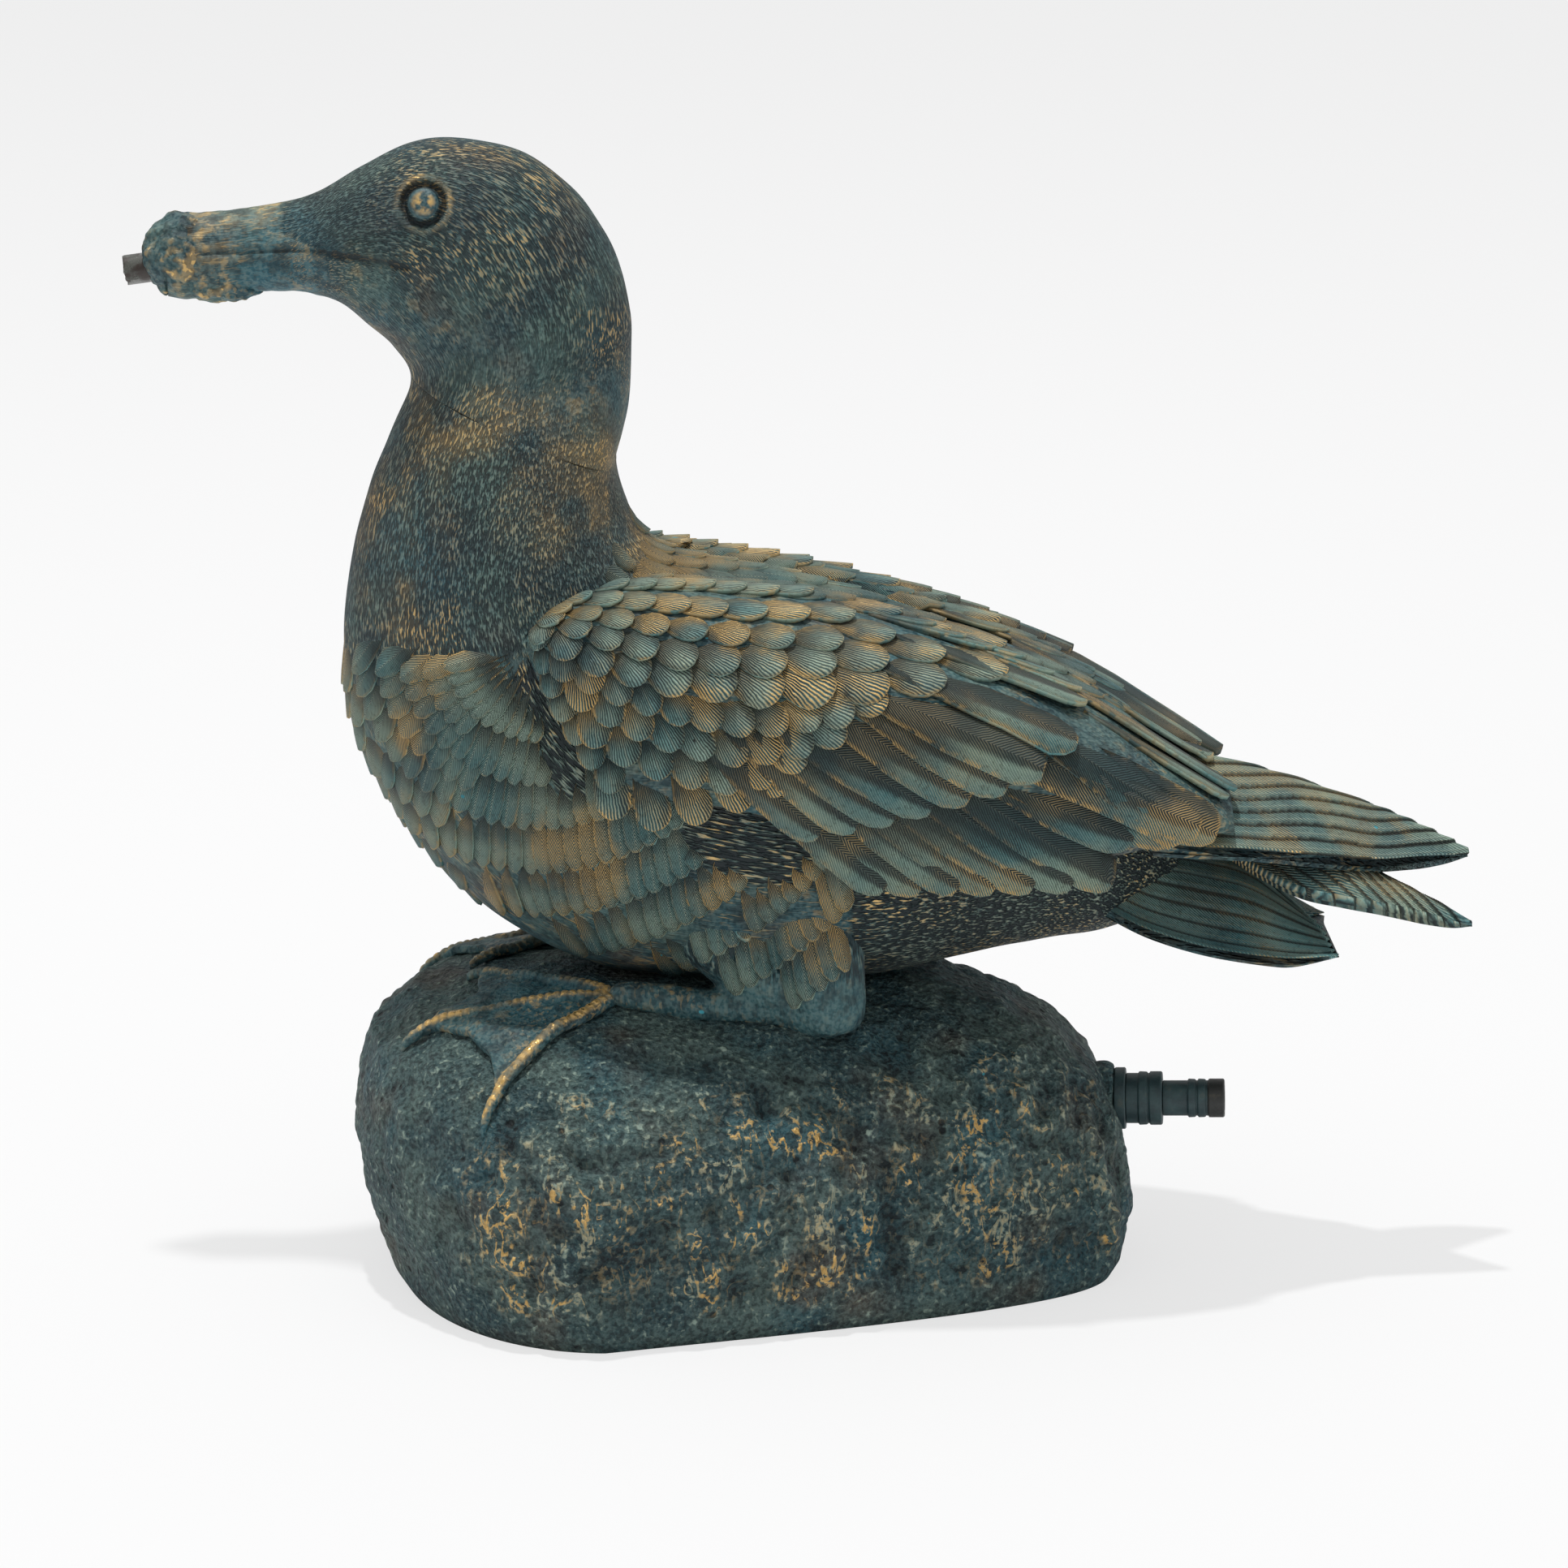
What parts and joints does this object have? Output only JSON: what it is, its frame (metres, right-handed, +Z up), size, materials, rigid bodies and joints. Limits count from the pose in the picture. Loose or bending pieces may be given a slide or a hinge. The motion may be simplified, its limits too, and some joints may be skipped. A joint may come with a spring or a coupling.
{
  "type": "duck fountain spout figure",
  "caption": "Hollow cast duck on a rock, with a hose tail at the rock's rear and a clear hose that runs inside the bird and out of its bill as the water spout.",
  "frame": {"origin": "middle of the rock's underside, on the surface it stands on", "axes": "+Z up, the bird faces -X with its tail at +X, and the bird's left side is -Y"},
  "size_m": [0.4686, 0.214, 0.3999],
  "materials": {
    "bird_cast": "cast resin painted verdigris over brown, with bronze dry-brushed on the raised edges",
    "rock_cast": "rough pitted cast resin painted verdigris, with bronze and brown on the raised grain",
    "plate": "plain matt plate",
    "eye_bronze": "satin bronze paint over verdigris",
    "clear_hose": "clear flexible hose with overspray at its cut end",
    "bill_putty": "lumpy putty painted like the bird",
    "fitting_plastic": "painted moulded plastic",
    "sealant": "painted sealant bead",
    "steel": "plain steel"
  },
  "bodies": {
    "root": {"rock_base": "rock_cast", "base_plate": "plate", "duck_body": "bird_cast", "duck_head": "bird_cast", "left_wing": "bird_cast", "right_wing": "bird_cast", "tail_fan": "bird_cast", "left_leg": "bird_cast", "right_leg": "bird_cast", "left_foot": "bird_cast", "right_foot": "bird_cast", "left_eye": "eye_bronze", "right_eye": "eye_bronze", "water_tube": "clear_hose", "spout_seal": "bill_putty", "hose_tail": "fitting_plastic", "tail_seal": "sealant", "hose_clip": "steel", "left_dowel": "steel", "right_dowel": "steel"}
  },
  "joints": []
}
